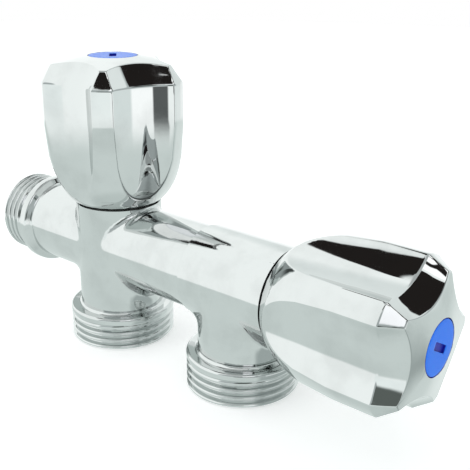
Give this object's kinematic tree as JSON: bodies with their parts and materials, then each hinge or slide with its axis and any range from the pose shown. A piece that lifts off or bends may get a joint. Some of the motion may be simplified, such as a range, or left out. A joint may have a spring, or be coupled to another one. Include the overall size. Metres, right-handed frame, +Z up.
{
  "type": "double appliance tap",
  "caption": "Chrome double appliance tap: an inlet pipe thread, two hose outlets facing down and two fluted hand wheels that each lift a rubber-faced valve off its seat.",
  "frame": {"origin": "centre of the inlet's end face", "axes": "+X along the barrel from the inlet to the end hand wheel, +Z up, away from the outlets"},
  "size_m": [0.1245, 0.0325, 0.0717],
  "materials": {
    "casting_chrome": "bright chrome plating on cast brass",
    "handle_chrome": "bright chrome plating on moulded ABS",
    "index_blue": "moulded blue, polished",
    "turned_brass": "turned, fine tool marks",
    "zinc_steel": "zinc plated",
    "spring_steel": "oiled spring steel",
    "seal_rubber": "matt moulded rubber",
    "white_slip_plastic": "smooth PTFE",
    "gasket_fibre": "red vulcanised fibre"
  },
  "bodies": {
    "valve_body": {"inlet_tee": "casting_chrome", "end_tee": "casting_chrome", "bonnet_1": "turned_brass", "bonnet_gasket_1": "gasket_fibre", "thrust_washer_1": "white_slip_plastic", "bonnet_2": "turned_brass", "bonnet_gasket_2": "gasket_fibre", "thrust_washer_2": "white_slip_plastic"},
    "knob_1": {"handle_1": "handle_chrome", "index_disc_1": "index_blue", "handle_screw_1": "zinc_steel", "spindle_1": "turned_brass", "spindle_clip_1": "spring_steel", "upper_spindle_seal_1": "seal_rubber", "lower_spindle_seal_1": "seal_rubber"},
    "plug_1": {"valve_carrier_1": "turned_brass", "valve_washer_1": "seal_rubber", "washer_screw_1": "turned_brass"},
    "knob_2": {"handle_2": "handle_chrome", "index_disc_2": "index_blue", "handle_screw_2": "zinc_steel", "spindle_2": "turned_brass", "spindle_clip_2": "spring_steel", "upper_spindle_seal_2": "seal_rubber", "lower_spindle_seal_2": "seal_rubber"},
    "plug_2": {"valve_carrier_2": "turned_brass", "valve_washer_2": "seal_rubber", "washer_screw_2": "turned_brass"}
  },
  "joints": [
    {"name": "knob_1_turn", "type": "hinge", "parent": "valve_body", "child": "knob_1", "pos_m": [0.0356, 0, 0.028], "axis": [0, 0, 1], "range_deg": [0, 900]},
    {"name": "plug_1_lift", "type": "slide", "parent": "valve_body", "child": "plug_1", "axis": [0, 0, 1], "range_m": [0, 0.005]},
    {"name": "knob_2_turn", "type": "hinge", "parent": "valve_body", "child": "knob_2", "pos_m": [0.1061, 0, 0], "axis": [1, 0, 0], "range_deg": [0, 900]},
    {"name": "plug_2_lift", "type": "slide", "parent": "valve_body", "child": "plug_2", "axis": [1, 0, 0], "range_m": [0, 0.005]}
  ],
  "couplings": [
    {"joint": "plug_1_lift", "follows": "knob_1_turn", "m_per_rad": 0.0003183},
    {"joint": "plug_2_lift", "follows": "knob_2_turn", "m_per_rad": 0.0003183}
  ]
}
